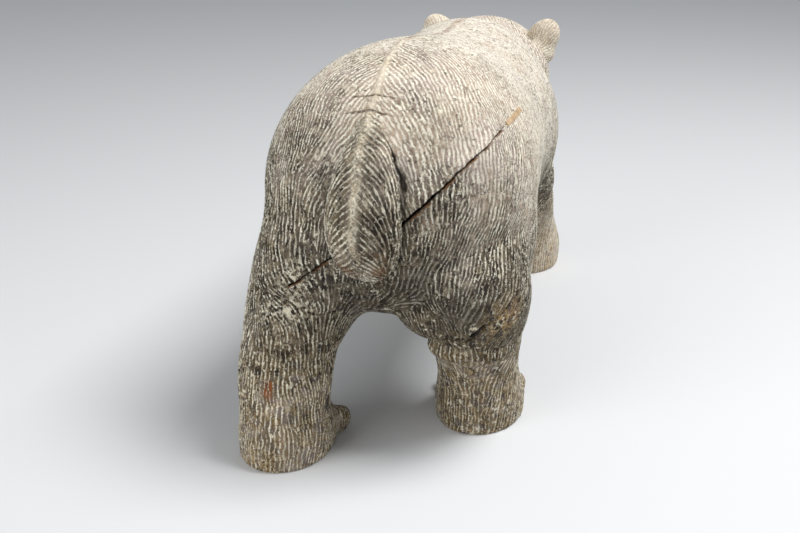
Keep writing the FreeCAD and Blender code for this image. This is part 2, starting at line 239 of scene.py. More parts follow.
def bear_field(low, high, voxel, softness):
    """The whole figure without tail and ears, joints closed and inner corners softened."""
    field = Field(low, high, voxel)
    for name in set(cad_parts) - {"tail", *EARS.values()}:
        field.value = np.minimum(field.value, field.from_node(name) - CLOSE_GAPS)
    # fills the seat of the tail
    rump = field.ellipsoid(RUMP_CENTRE, RUMP_RADII)
    field.value = np.minimum(field.value, rump - CLOSE_GAPS)
    # the legs run on below the floor while the field is softened, so that the soles stay crisp
    floor = int(round(SOLE_SLICE / voxel)) - field.start[2]
    field.value[:, :, :floor] = field.value[:, :, floor:floor + 1]
    field.soften(softness)
    field.value += CLOSE_GAPS
    return field


# (centre, half sizes, how softly it blends in)
BODY_MASSES = [
    # right haunch, which hangs over the leg that steps forward
    ((-57, 98, 152), (49, 48, 56), 4),
    ((-52, 60, 165), (57, 66, 66), 10),
    ((-42, 108, 124), (38, 30, 34), 5),
    # roll of the leg under the crease
    ((-63, 89, 78), (34, 30, 13), 5),
    # left haunch, leg and the inner side of its foot
    ((57, 112, 152), (46, 50, 60), 14),
    ((74, 150, 62), (35, 40, 60), 8),
    ((49, 132, 13), (13, 26, 15), 4),
    # shoulders
    ((60, -176, 186), (38, 54, 62), 16),
    ((-53, -180, 184), (38, 54, 60), 16),
    # hump of the withers
    ((0, -190, 258), (44, 60, 30), 22),
]
HEAD_MASSES = [
    # cheeks
    ((30, -296, 213), (28, 34, 30), 12),
    ((-30, -296, 213), (28, 34, 30), 12),
    # fullness behind the ears
    ((-42, -282, 226), (27, 36, 32), 12),
    ((38, -282, 226), (27, 36, 32), 12),
    # brows
    ((17, -338, 246), (15, 17, 9), 8),
    ((-17, -338, 246), (15, 17, 9), 8),
    # muzzle, chin and nose
    ((0, -372, 214), (22, 34, 17), 9),
    ((0, -376, 193), (17, 27, 12), 6),
    ((0, -402, 216), (13, 9, 9), 3),
]
FULLER = 0.5  # how much the figure grows before its soles are cut flat


def add_masses(field, masses):
    for centre, radii, width in masses:
        field.value = blend(field.value, field.ellipsoid(centre, radii), width)


def toe_spot(foot, reach, spread=1.0, forward=0.0, height=TOE_HEIGHT):
    """Where a toe stands, from the middle of its foot."""
    x, y = foot
    return (x + spread * toe_side(x, reach), y - TOE_REACH - forward + TOE_ARC * reach ** 2, height)


def shape_body(field):
    """Haunches, shoulders and toes."""
    add_masses(field, BODY_MASSES)
    for foot, reach in itertools.product(FEET, TOES):
        toe = field.ellipsoid(toe_spot(foot, reach), TOE_RADII, turn=TOE_FAN * reach)
        field.value = blend(field.value, toe, 2.5)
    field.value = np.maximum(field.value - FULLER, -field.z)
    return field


def shape_head(field):
    """Cheeks, brow, muzzle, nose, nostrils and eye sockets."""
    add_masses(field, HEAD_MASSES)
    for side in (-1, 1):
        socket = field.ellipsoid((side * 27, -357, 240), (10, 8, 8))
        field.value = carve_away(field.value, socket, 4)
        nostril = field.ellipsoid((side * 6.5, -411, 217), (3.6, 5.0, 3.0))
        field.value = carve_away(field.value, nostril, 1.5)
    return field


# ---- gouge strokes

class Comb:
    """Gouge strokes on a surface, held as a wave whose crests run along a given flow."""

    ROUNDS = 60

    def __init__(self, field, points, quads, flow, pitch, seed):
        self.field = field
        self.points = points
        normal = field.normals(points)
        along = flow(points, normal)
        self.across = np.cross(normal, along) * (2 * math.pi / pitch)
        self.index = np.full(field.size, -1, np.int32)
        cell = np.floor(points / field.voxel).astype(int) - field.start
        self.index[tuple(cell.T)] = np.arange(len(points))
        self.settle(quads, along, seed)

    def settle(self, quads, along, seed):
        """Lets neighbouring points agree on the phase of the wave."""
        first = np.concatenate([quads[:, k] for k in (0, 1, 2, 3, 0, 1)])
        second = np.concatenate([quads[:, k] for k in (1, 2, 3, 0, 2, 3)])
        a = np.concatenate([first, second])
        b = np.concatenate([second, first])
        step = self.points[a] - self.points[b]
        angle = np.sum((self.across[a] + self.across[b]) * step, axis=1) / 2
        weight = 0.4 + np.abs(np.sum(unit(step) * along[a], axis=1))
        carry = weight * np.exp(1j * angle)
        count = len(self.points)
        wave = np.exp(2j * math.pi * np.random.default_rng(seed).random(count))
        for _ in range(self.ROUNDS):
            push = wave[b] * carry
            total = np.bincount(a, push.real, count) + 1j * np.bincount(a, push.imag, count)
            wave = total / np.maximum(np.abs(total), 1e-9)
        self.wave = wave.astype(np.complex64)

    def read(self, places):
        """Wave at any places near the surface; its length tells how well the strokes agree."""
        cell = np.floor(places / self.field.voxel).astype(int) - self.field.start
        total = np.zeros(len(places), np.complex64)
        weight = np.full(len(places), 1e-6, np.float32)
        spread = 2 * (0.9 * self.field.voxel) ** 2
        limit = np.array(self.index.shape) - 1
        for shift in np.ndindex(3, 3, 3):
            spot = np.clip(cell + np.array(shift) - 1, 0, limit)
            near = self.index[tuple(spot.T)]
            rows = np.nonzero(near >= 0)[0]
            near = near[rows]
            gap = (places[rows] - self.points[near]).astype(np.float32)
            share = np.exp(-np.sum(gap * gap, axis=1) / spread)
            phase = np.sum(self.across[near].astype(np.float32) * gap, axis=1)
            total[rows] += share * self.wave[near] * np.exp(1j * phase)
            weight[rows] += share
        return total / weight


def tangent(wish, normal):
    return unit(wish - np.sum(wish * normal, axis=1, keepdims=True) * normal)


def mixed(a, b, share):
    return a + (b - a) * share[:, None]


def wander(p, size, seed):
    return np.stack([noise(p, size, seed + k) for k in range(3)], axis=1)


def spine_x(y):
    """The ridge of the back bends a little to the left on its way down to the tail."""
    return 4 + 5 * ramp(y, 128, 155)


def body_flow(p, n):
    """Fur runs back and outwards from the spine, and down the flanks and legs."""
    x, y, z = p.T
    offset = x - spine_x(y)
    side = np.tanh(offset / 7)
    zero, one = np.zeros_like(x), np.ones_like(x)
    parting = np.exp(-(np.abs(offset) / 46) ** 1.5) * ramp(z, 150, 235)
    wish = np.stack([1.1 * side * parting, 0.55 * one, -one], axis=1)
    head = ramp(-y, 230, 290) * ramp(z, 120, 165)
    wish = mixed(wish, np.stack([0.45 * side, one, -0.3 * one], axis=1), head)
    leg = 1 - ramp(z, 92, 128)
    wish = mixed(wish, np.stack([zero, 0.12 * one, -one], axis=1), leg)
    # the fur of the left thigh sweeps inwards above the leg
    sweep = np.exp(-((x - 66) / 34) ** 2 - ((z - 136) / 30) ** 2) * ramp(y, 90, 130)
    wish[:, 0] -= 0.9 * sweep
    loose = (1 - 0.6 * leg)[:, None]
    wish = wish + loose * (0.36 * wander(p, 46, 11) + 0.2 * wander(p, 17, 21))
    return tangent(wish, n)


def body_flow_aslant(p, n):
    """The same fur, cut with a smaller gouge held a little aslant."""
    along = body_flow(p, n)
    lean = 0.3 * noise(p, 38, 91)
    return unit(along + lean[:, None] * np.cross(n, along))


def tail_middle(z):
    return 6.5 + 3.5 * (1 - ramp(z, 165, 215))


def tail_flow(p, n):
    """Strokes fall away from the middle of the tail to both sides."""
    x, y, z = p.T
    offset = x - tail_middle(z)
    side = np.tanh(offset / 2.5)
    lean = 1.25 * np.exp(-(np.abs(offset) / 26) ** 2)
    wish = np.stack([side * lean, 0.1 * np.ones_like(x), -np.ones_like(x)], axis=1)
    return tangent(wish + 0.22 * wander(p, 22, 31), n)


def groove(wave, depth):
    """Height of the surface: rounded gouge cuts between narrow crests."""
    share = np.abs(np.angle(wave)) / math.pi
    firm = ramp(np.abs(wave), 0.25, 0.8)
    return -depth * (1 - share * share * share) * firm - depth * 0.3 * (1 - firm)


# ---- checks, creases and marks

def near_line(p, line, reach):
    """Distance to a bent line, how far along it the nearest point is, and the points within reach."""
    line = np.array(line, float)
    inside = np.all((p > line.min(0) - reach) & (p < line.max(0) + reach), axis=1)
    rows = np.nonzero(inside)[0]
    best = np.full(len(rows), 1e9)
    place = np.zeros(len(rows))
    lengths = np.linalg.norm(np.diff(line, axis=0), axis=1)
    start = 0.0
    for a, b, length in zip(line[:-1], line[1:], lengths):
        t = np.clip((p[rows] - a) @ (b - a) / length ** 2, 0, 1)
        gap = np.linalg.norm(p[rows] - a - t[:, None] * (b - a), axis=1)
        closer = gap < best
        best[closer] = gap[closer]
        place[closer] = (start + t * length)[closer]
        start += length
    return rows, best, place / start


class Skin:
    """Fine points of one piece, with everything that is worked into them."""

    # wave and depth of the strokes, then how much of each finish and of the painted shade a point has
    LAYERS = ["wave_c", "wave_s", "stroke", "tone", "shade", "pale", "dark", "fresh", "rust", "wear",
              "fleck"]
    SKIN_DEPTH = 1.2  # points deeper than this lie on a joint face and aren't carved
    # patches cut with the smaller and the wider gouge: noise sizes, seed, limit and depth
    PATCHES = ((19, 8, 83, 0.18, 0.75), (24, 9, 85, 0.3, 1.15))

    def __init__(self, points, field, combs):
        self.field = field
        distance = field.sample(points)
        self.skin = distance > -self.SKIN_DEPTH
        self.n = field.normals(points)
        self.p = points - np.where(self.skin, distance, 0)[:, None] * self.n
        self.push = np.zeros(len(points))
        self.data = {name: np.zeros(len(points)) for name in self.LAYERS}
        self.combs = combs

    def strokes(self, depth, waver=1.0):
        wave = self.combs[0].read(self.p)
        for comb, (broad, small, seed, limit, share) in zip(self.combs[1:], self.PATCHES):
            other = noise(self.p, broad, seed) + 0.5 * noise(self.p, small, seed + 1) > limit
            wave[other] = comb.read(self.p[other])
            depth = np.where(other, share * depth, depth)
        jitter = 1.8 * noise(self.p, 9.0, 81) + 0.9 * noise(self.p, 4.0, 82)
        wave = wave * np.exp(1j * waver * jitter)
        self.data["wave_c"] = wave.real
        self.data["wave_s"] = wave.imag
        self.data["stroke"] = depth
        self.push += groove(wave, depth)

    def onto_surface(self, line, step=4.0):
        """A bent line laid on the surface, with extra points so that it follows it."""
        line = np.array(line, float)
        travel = np.concatenate([[0], np.cumsum(np.linalg.norm(np.diff(line, axis=0), axis=1))])
        stops = np.linspace(0, travel[-1], int(travel[-1] / step) + 2)
        laid = np.stack([np.interp(stops, travel, line[:, k]) for k in range(3)], axis=1)
        for _ in range(4):
            laid = laid - self.field.sample(laid)[:, None] * self.field.normals(laid)
        return laid

    def score(self, line, width, depth, dark=1.0, fresh=0.0, jag=0.5, seed=90):
        """A cut along a bent line."""
        rows, gap, place = near_line(self.p, self.onto_surface(line), width * 3 + 2)
        if len(rows) == 0:
            return
        p = self.p[rows]
        gap = gap + jag * width * noise(p, 5.0, seed)
        gap = np.abs(gap + 0.5 * jag * width * noise(p, 2.0, seed + 1))
        taper = np.sqrt(np.clip(4 * place * (1 - place), 0, 1))
        cut = np.clip(1 - gap / (width * (0.25 + 0.75 * taper)), 0, 1)
        self.push[rows] -= depth * np.sqrt(cut)
        # painted shade in the depth of the cut
        self.mark("dark", dark * ramp(cut, 0.0, 0.5), rows)
        if fresh:
            rim = np.clip(1 - gap / (width * 2.2), 0, 1)
            self.mark("fresh", fresh * ramp(rim, 0.1, 0.6), rows)

    def shadow(self, line, reach, strength):
        """Painted shade in a hollow that follows a bent line."""
        rows, gap, _ = near_line(self.p, self.onto_surface(line), 2.5 * reach)
        self.mark("shade", strength * bell(gap, reach), rows)

    def mark(self, name, value, rows=slice(None)):
        """Raises a layer to at least the given value."""
        self.data[name][rows] = np.maximum(self.data[name][rows], value)

    def split(self, centre, normal, along, start, end, half_width, depth):
        """An open drying check: a narrow gap where a plane meets the surface."""
        normal, along = unit(np.array(normal, float)), unit(np.array(along, float))
        offset = self.p - np.array(centre, float)
        t = offset @ along
        side = offset @ normal
        near = (np.abs(side) < 12) & (t > start - 4) & (t < end + 4) & (self.p[:, 1] > 60)
        rows = np.nonzero(near & self.skin)[0]
        p, t, side = self.p[rows], t[rows], side[rows]
        side = side + 0.9 * noise(p, 26, 51) + 0.8 * noise(p, 9, 52)
        side = side + 0.5 * noise(p, 3.5, 53)
        width = half_width(t) * (1 + 0.35 * noise(p, 6, 54))
        width = width * ramp(t, start, start + 6) * (1 - ramp(t, end - 6, end)) + 1e-3
        cut = np.clip(1 - np.abs(side) / width, 0, 1)
        self.push[rows] -= depth * np.sqrt(cut)
        # painted shade in the depth of the check
        self.mark("dark", ramp(cut, 0.0, 0.35), rows)
        rim = np.clip(1 - np.abs(side + 0.6) / (width + 1.1), 0, 1) * (width > 0.3)
        self.mark("fresh", ramp(rim, 0.05, 0.5) * ramp(noise(p, 7, 55), -0.6, 0.5), rows)

    def fold(self, line, up, rise, width=16.0):
        """A crease with the mass above hanging over the part below."""
        line = self.onto_surface(line)
        rows, gap, place = near_line(self.p, line, width * 1.6)
        stops = np.linspace(0, 1, len(line))
        spots = np.stack([np.interp(place, stops, line[:, k]) for k in range(3)], axis=1)
        above = (self.p[rows] - spots) @ unit(np.array(up, float))
        fade = np.sqrt(np.clip(4 * place * (1 - place), 0, 1))
        swell = bell(above - 0.45 * width, 0.5 * width) * ramp(above, -1.0, 5.0)
        dip = bell(np.maximum(-above, 0), 0.45 * width) * (above <= 1.0)
        close = bell(np.maximum(gap - np.abs(above), 0), 6)
        self.push[rows] += rise * fade * close * (swell - 0.7 * dip)

    def place(self):
        """Worked points: pushed along the normal, with the flat faces of the joints left alone."""
        return self.p + np.where(self.skin, self.push, 0)[:, None] * self.n


# ---- meshes

def fine_mesh(name, points, faces, levels, sharp_edges=()):
    """Subdivides a coarse cage and returns the object with its points in millimetres."""
    data = bpy.data.meshes.new(name)
    data.from_pydata(points.tolist(), [], faces)
    data.update()
    piece = put(name, data)
    if len(sharp_edges):
        crease = data.attributes.new("crease_edge", "FLOAT", "EDGE")
        keys = {tuple(sorted(e)): k for k, e in enumerate(data.edge_keys)}
        values = np.zeros(len(data.edges), np.float32)
        for edge in sharp_edges:
            values[keys[tuple(sorted(edge))]] = 1.0
        crease.data.foreach_set("value", values)
    smooth = piece.modifiers.new("smooth", "SUBSURF")
    smooth.levels = levels
    smooth.render_levels = levels
    smooth.boundary_smooth = "PRESERVE_CORNERS"
    graph = bpy.context.evaluated_depsgraph_get()
    graph.update()
    fine = bpy.data.meshes.new_from_object(piece.evaluated_get(graph), depsgraph=graph)
    fine.name = name
    piece.modifiers.clear()
    piece.data = fine
    bpy.data.meshes.remove(data)
    return piece


def read_points(piece):
    out = np.empty(len(piece.data.vertices) * 3)
    piece.data.vertices.foreach_get("co", out)
    return out.reshape(-1, 3)


def finish_piece(piece, skin, points, node):
    """Writes the worked points and the colour layers, and hangs the piece on its body."""
    points = points + np.array((0, STATION_ORIGIN, 0))
    data = piece.data
    data.vertices.foreach_set("co", (points * MM).ravel().astype(np.float32))
    crease = data.attributes.get("crease_edge")
    if crease:
        data.attributes.remove(crease)
    for name, values in skin.data.items():
        layer = data.attributes.new(name, "FLOAT", "POINT")
        layer.data.foreach_set("value", values.astype(np.float32))
    data.polygons.foreach_set("use_smooth", np.ones(len(data.polygons), bool))
    data.materials.clear()
    data.materials.append(wood)
    data.update()
    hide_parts(node)
    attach(piece, "root")


# ---- wood and other finishes

class Finish:
    """A material built from nodes, with short calls for the nodes it needs."""

    def __init__(self, name):
        self.material = bpy.data.materials.new(name)
        self.material.use_nodes = True
        self.nodes = self.material.node_tree.nodes
        self.links = self.material.node_tree.links
        self.shader = self.nodes["Principled BSDF"]
        self.place = self.nodes.new("ShaderNodeTexCoord").outputs["Object"]

    def feed(self, socket, value):
        if isinstance(value, bpy.types.NodeSocket):
            self.links.new(value, socket)
        elif isinstance(value, tuple) and len(value) == 3 and socket.type == "RGBA":
            socket.default_value = (*value, 1)
        else:
            socket.default_value = value

    def fill(self, node, **inputs):
        """Feeds the inputs of a node, but for those that are None."""
        for name, value in inputs.items():
            if value is not None:
                self.feed(node.inputs[name.replace("_", " ")], value)

    def layer(self, name):
        node = self.nodes.new("ShaderNodeAttribute")
        node.attribute_name = name
        return node.outputs["Fac"]

    def math(self, operation, a, b=0.0, clamp=False):
        node = self.nodes.new("ShaderNodeMath")
        node.operation = operation
        node.use_clamp = clamp
        self.feed(node.inputs[0], a)
        self.feed(node.inputs[1], b)
        return node.outputs[0]

    def noise(self, size, detail=2.0, rough=0.5, tall=1):
        """Noise from 0 to 1 with features of about the given size in metres."""
        mapping = self.nodes.new("ShaderNodeMapping")
        self.fill(mapping, Vector=self.place, Scale=(1 / size, 1 / size, 1 / (size * tall)))
        node = self.nodes.new("ShaderNodeTexNoise")
        self.fill(node, Vector=mapping.outputs[0], Scale=1.0, Detail=detail, Roughness=rough)
        return node.outputs["Fac"]

    def step(self, value, low, high):
        """0 below low, 1 above high; works the other way round if low is above high."""
        node = self.nodes.new("ShaderNodeMapRange")
        node.interpolation_type = "SMOOTHSTEP"
        flip = low > high
        self.fill(node, Value=value, From_Min=min(low, high), From_Max=max(low, high))
        self.fill(node, To_Min=float(flip), To_Max=float(not flip))
        return node.outputs["Result"]

    def mix(self, share, a, b):
        node = self.nodes.new("ShaderNodeMix")
        node.data_type = "RGBA"
        self.feed(node.inputs["Factor"], share)
        # its two colours come behind the inputs of the other kinds of mix
        self.feed(node.inputs[6], a)
        self.feed(node.inputs[7], b)
        return node.outputs[2]

    def times(self, *values):
        """The product of several values."""
        out = values[0]
        for value in values[1:]:
            out = self.math("MULTIPLY", out, value)
        return out

    def swing(self, value, middle, amount):
        """How far a value is from its middle, times an amount."""
        return self.times(self.math("SUBTRACT", value, middle), amount)

    def mottle(self, size, detail=3.0, rough=0.6, low=0.3, high=0.7, tall=1):
        """Noise spread over the full range from 0 to 1."""
        return self.step(self.noise(size, detail, rough, tall), low, high)

    def bump(self, height, distance, strength=1.0, under=None):
        node = self.nodes.new("ShaderNodeBump")
        self.fill(node, Distance=distance, Strength=strength, Height=height, Normal=under)
        return node.outputs["Normal"]

    def done(self, colour, roughness, normal=None, shine=0.35):
        self.fill(self.shader, Base_Color=colour, Roughness=roughness, Normal=normal)
        self.fill(self.shader, Specular_IOR_Level=shine)
        return self.material


def srgb(r, g, b):
    """Linear colour from 0 to 255 screen values."""
    out = []
    for v in (r, g, b):
        v = v / 255
        out.append(v / 12.92 if v <= 0.04045 else ((v + 0.055) / 1.055) ** 2.4)
    return tuple(out)


def cut_colour(f, tone, grit):
    """The bottoms of the gouge cuts: brown or grey, dark or half filled with old limewash."""
    deep = f.step(tone, 0.0, 0.9)
    depth = f.mottle(0.0062, 4.0, 0.7, 0.42, 0.66, tall=2)
    brown = f.mix(deep, srgb(178, 160, 140), f.mix(depth, srgb(34, 25, 15), srgb(112, 98, 75)))
    grey = f.mix(deep, srgb(168, 152, 142), f.mix(depth, srgb(46, 37, 32), srgb(120, 110, 96)))
    cut = f.mix(f.mottle(0.05, 2.0, 0.5, 0.4, 0.65), brown, grey)
    filled = f.times(f.mottle(0.0085, 3.0, 0.6, 0.48, 0.66), f.step(grit, 0.0, 0.9), 0.8)
    return f.mix(filled, cut, f.mix(tone, srgb(228, 214, 194), srgb(168, 154, 126)))


def crest_colour(f, tone):
    """The crests between the cuts, bright where they were rubbed."""
    bright = f.mottle(0.0052, 3.0, 0.65, 0.34, 0.56, tall=2.5)
    return f.mix(tone, srgb(236, 228, 213), f.mix(bright, srgb(158, 142, 116), srgb(255, 250, 228)))


def shaded_and_stained(f, colour, ridge, grit, coarse, streak):
    """Painted shade in the hollows and underneath, ochre wear and rust."""
    # painted shade: the colour darkens towards near-black brown where the shade layer is set
    colour = f.mix(f.times(f.layer("shade"), 0.62), colour, srgb(30, 22, 12))
    ochre = f.times(f.layer("wear"), f.step(coarse, 0.25, 0.6))
    colour = f.mix(ochre, colour, f.mix(grit, srgb(128, 98, 54), srgb(206, 178, 126)))
    stain = f.times(f.layer("rust"), f.math("SUBTRACT", 0.9, f.times(ridge, 0.55)))
    return f.mix(f.times(stain, f.step(streak, -0.1, 0.7)), colour, srgb(138, 78, 34))


def flecked(f, colour, pits, grit, coarse, patch):
    """Pits, specks, worn crests, glue, fresh wood, and painted shade in open cracks and cuts."""
    colour = f.mix(f.times(pits, 0.75), colour, srgb(44, 33, 24))
    specks = f.times(f.mottle(0.0042, 2.0, 0.6, 0.60, 0.67), f.step(patch, 0.35, 0.6), 0.7)
    colour = f.mix(specks, colour, srgb(236, 228, 206))
    worn = f.times(f.layer("pale"), f.step(grit, -0.2, 0.75))
    colour = f.mix(worn, colour, f.mix(coarse, srgb(206, 192, 164), srgb(246, 236, 214)))
    glue = f.times(f.layer("fleck"), f.mottle(0.0034, 2.0, 0.5, 0.52, 0.6))
    colour = f.mix(glue, colour, srgb(238, 230, 206))
    colour = f.mix(f.layer("fresh"), colour, f.mix(grit, srgb(66, 40, 22), srgb(140, 100, 62)))
    # near-black where the dark layer is set: painted shade in the depths of checks, creases and cuts,
    # and the dark lines of joints and seams
    return f.mix(f.layer("dark"), colour, srgb(22, 15, 10))


def carved_wood():
    """Limewashed, worn softwood: cream crests, darker cuts."""
    f = Finish("carved_wood")
    grit = f.mottle(0.0017, rough=0.65)
    fine = f.mottle(0.0010, detail=2.0)
    coarse = f.mottle(0.007)
    patch = f.mottle(0.030, rough=0.55, tall=1.8)
    streak = f.mottle(0.0026, tall=6)

    # 0 in the middle of a cut, 1 on a crest; firm where the strokes are clear
    wave_s, wave_c = f.layer("wave_s"), f.layer("wave_c")
    crest = f.math("DIVIDE", f.math("ABSOLUTE", f.math("ARCTAN2", wave_s, wave_c)), math.pi)
    length = f.math("ADD", f.math("POWER", wave_s, 2.0), f.math("POWER", wave_c, 2.0))
    firm = f.step(length, 0.05, 0.45)

    tone = f.math("ADD", f.layer("tone"), f.swing(patch, 0.5, 0.4))
    tone = f.math("ADD", tone, f.swing(coarse, 0.5, 0.35), clamp=True)

    # the limewash has held on the crests, but not evenly
    shaken = crest
    for value, middle, amount in ((grit, 0.5, 0.38), (coarse, 0.5, 0.42), (tone, 0.6, -0.35),
                                  (streak, 0.5, 0.4), (fine, 0.5, 0.3)):
        shaken = f.math("ADD", shaken, f.swing(value, middle, amount))
    ridge = f.times(f.step(shaken, 0.50, 0.92), firm)
    ridge = f.math("MAXIMUM", ridge, f.times(f.step(f.layer("stroke"), 0.35, 0.0), 0.6))

    pits = f.times(f.mottle(0.0030, 2.0, 0.6, 0.38, 0.31), f.step(coarse, 0.2, 0.7))
    colour = f.mix(ridge, cut_colour(f, tone, grit), crest_colour(f, tone))
    colour = shaded_and_stained(f, colour, ridge, grit, coarse, streak)
    colour = flecked(f, colour, pits, grit, coarse, patch)

    bowl = f.times(f.math("POWER", crest, 3.0), firm, f.layer("stroke"))
    normal = f.bump(bowl, 0.0010, 0.7)
    normal = f.bump(grit, 0.00035, 0.8, normal)
    normal = f.bump(pits, -0.0006, 0.8, normal)
    rough = f.math("SUBTRACT", 0.9, f.times(ridge, 0.22))
    return f.done(colour, rough, normal, 0.4)


def plain_wood(name, light, dark, size):
    """Close grained wood for the plugs and the let-in strip."""
    f = Finish(name)
    grain = f.noise(size, 4.0, 0.6, tall=6)
    colour = f.mix(f.step(grain, 0.3, 0.7), dark, light)
    colour = f.mix(f.times(f.mottle(0.002, 3.0, 0.5, 0.55, 0.7), 0.5), colour, dark)
    return f.done(colour, 0.75, f.bump(grain, 0.0003))


def bead():
    """Dark, polished beads for the eyes."""
    f = Finish("eye_bead")
    cloud = f.noise(0.004, 2.0)
    return f.done(f.mix(cloud, srgb(20, 13, 9), srgb(38, 26, 18)), 0.18, None, 0.6)


# ---- the bear

BEAR_LOW = (-132, -442, -16)
BEAR_HIGH = (132, 216, 336)
VOXEL = 2.75
SOFTNESS = 6.0    # how far inner corners are rounded
MAIN_PITCH = 3.5  # distances from one cut to the next, for the three gouges
SMALL_PITCH = 2.7
WIDE_PITCH = 4.3

body_field = shape_head(shape_body(bear_field(BEAR_LOW, BEAR_HIGH, VOXEL, SOFTNESS)))
cage_points, cage_quads = body_field.surface()
body_combs = [
    Comb(body_field, cage_points, cage_quads, body_flow, MAIN_PITCH, 1),
    Comb(body_field, cage_points, cage_quads, body_flow_aslant, SMALL_PITCH, 5),
    Comb(body_field, cage_points, cage_quads, body_flow, WIDE_PITCH, 9),
]

# heights of the leg joints, station of the neck joint and the lowest point of the head block
HIND_JOINT = 86.0
FORE_JOINT = 104.0
NECK_JOINT = -262.0
NECK_LOW = 140.0
# the hind legs lie behind the first station, the forelegs in front of the second
HIND_FROM = -60
FORE_FROM = -100

# carved pieces and the CAD nodes they stand for
PARTS = {"body": "body_block", "head": "head_block",
         "hind_left": "hind_leg_left", "hind_right": "hind_leg_right",
         "fore_left": "foreleg_left", "fore_right": "foreleg_right"}


def part_of(p):
    """The number of the part that a point of the cage belongs to."""
    x, y, z = p.T
    out = np.zeros(len(p), int)
    hind = (z < HIND_JOINT) & (y > HIND_FROM)
    fore = (z < FORE_JOINT) & (y < FORE_FROM)
    out[hind] = np.where(x > 0, 2, 3)[hind]
    out[fore] = np.where(x > 0, 4, 5)[fore]
    out[(y < NECK_JOINT) & (z > NECK_LOW) & ~fore] = 1
    return out


def cut_cage():
    """Cuts the cage along the joints, so that its edges follow them."""
    data = bpy.data.meshes.new("cage")
    data.from_pydata(cage_points.tolist(), [], cage_quads[:, ::-1].tolist())
    bm = bmesh.new()
    bm.from_mesh(data)
    bpy.data.meshes.remove(data)
    joints = [
        (2, HIND_JOINT, lambda c: c.y > HIND_FROM),
        (2, FORE_JOINT, lambda c: c.y < FORE_FROM and c.z < FORE_JOINT + 6),
        (1, NECK_JOINT, lambda c: c.z > NECK_LOW - 8),
        (2, NECK_LOW, lambda c: c.y < NECK_JOINT + 0.1),
    ]
    for axis, level, wanted in joints:
        normal = Vector(np.eye(3)[axis])
        middles = [(f, f.calc_center_median()) for f in bm.faces]
        faces = [f for f, c in middles if abs(c[axis] - level) < 8 and wanted(c)]
        edges = {e for f in faces for e in f.edges}
        verts = {v for f in faces for v in f.verts}
        geom = [*faces, *edges, *verts]
        bmesh.ops.bisect_plane(bm, geom=geom, dist=0.25, plane_co=normal * level, plane_no=normal)
    bm.verts.index_update()
    points = np.array([v.co[:] for v in bm.verts])
    faces = [[v.index for v in f.verts] for f in bm.faces]
    centres = np.array([f.calc_center_median()[:] for f in bm.faces])
    bm.free()
    return points, faces, centres


def take(points, faces, keep):
    """The kept faces as a mesh of their own, its open rims closed by flat faces."""
    faces = [faces[k] for k in keep]
    used = sorted({v for f in faces for v in f})
    new = {v: k for k, v in enumerate(used)}
    faces = [[new[v] for v in f] for f in faces]
    sides = {(a, b) for f in faces for a, b in zip(f, f[1:] + f[:1])}
    following = {b: a for a, b in sides if (b, a) not in sides}
    rims = []
    while following:
        start, current = next(iter(following.items()))
        del following[start]
        loop = [start]
        while current != start and current in following:
            loop.append(current)
            current = following.pop(current)
        rims.append(loop)
    rims = [r for r in rims if len(r) > 2]
    sharp = [(a, b) for r in rims for a, b in zip(r, r[1:] + r[:1])]
    return points[used], faces + rims, sharp


def body_tone(p):
    """0 where the surface is palest, 1 where it is darkest: partly the limewash, partly painted light
    and shade from above and the right.
    """
    x, y, z = p.T
    # paler towards the top and on the right flank, and darker on the left rump: painted light and
    # shade
    high = ramp(z, 150, 300)
    tone = 0.86 - 0.62 * high
    tone -= 0.18 * ramp(-x, 50, 100) * ramp(z, 150, 200)
    tone += 0.12 * ramp(x, 0, 60) * ramp(y, 40, 120) * ramp(z, 130, 200)
    forward = ramp(-y, -60, 160)
    tone -= 0.3 * forward * ramp(z, 110, 240)
    tone -= 0.4 * forward * (1 - ramp(z, 60, 120))
    tone -= 0.18 * (1 - ramp(z, 20, 80))
    return np.clip(tone, 0, 1)


def stroke_depth(p, n):
    """Cuts are deep on rump and legs, worn shallow on the back and the head."""
    x, y, z = p.T
    depth = 1.6 - 0.45 * ramp(z, 230, 310) - 0.35 * ramp(-y, 200, 330) * ramp(z, 120, 170)
    depth *= 0.75 + 0.45 * noise(p, 13, 61)
    depth *= 0.85 + 0.3 * noise(p, 42, 62)
    depth *= 1 - ramp(-n[:, 2], 0.75, 0.92) * (1 - ramp(z, 4, 9))
    return np.clip(depth, 0, 2.2)


def colour_body(skin, pads):
    """Worn limewash, painted shade underneath, on the low rump and on the right hind leg, and ochre
    wear on legs and feet.
    """
    p = skin.p
    x, y, z = p.T
    skin.data["tone"] = body_tone(p)
    # painted shade: darker on the low rump, on faces turned downwards and on the right hind leg
    low_rump = ramp(205 - z, 0, 60) * ramp(z, 84, 100) * ramp(y, 20, 90) * ramp(62 - x, 0, 40)
    under = ramp(-skin.n[:, 2], 0.05, 0.7) * ramp(z, 60, 90)
    right_leg = (x < 0) * ramp(y, 20, 90) * (1 - ramp(z, 84, 100))
    skin.data["shade"] = np.clip(0.5 * low_rump + 0.75 * under + 0.3 * right_leg, 0, 1)
    soles = 0.55 * ramp(26 - z, 0, 20) * ramp(noise(p, 20, 71), -0.2, 0.5)
    legs = 0.32 * (1 - ramp(z, 40, 140))
    skin.data["wear"] = np.maximum(np.maximum(0.8 * pads, soles), legs)


def raise_ridge(skin, spine):
    """The raised ridge of the back, worn pale."""
    ridge = spine * (0.85 + 0.4 * noise(skin.p, 6, 76))
    skin.push += 1.1 * ridge
    skin.data["pale"] = np.clip(0.95 * ridge, 0, 1)


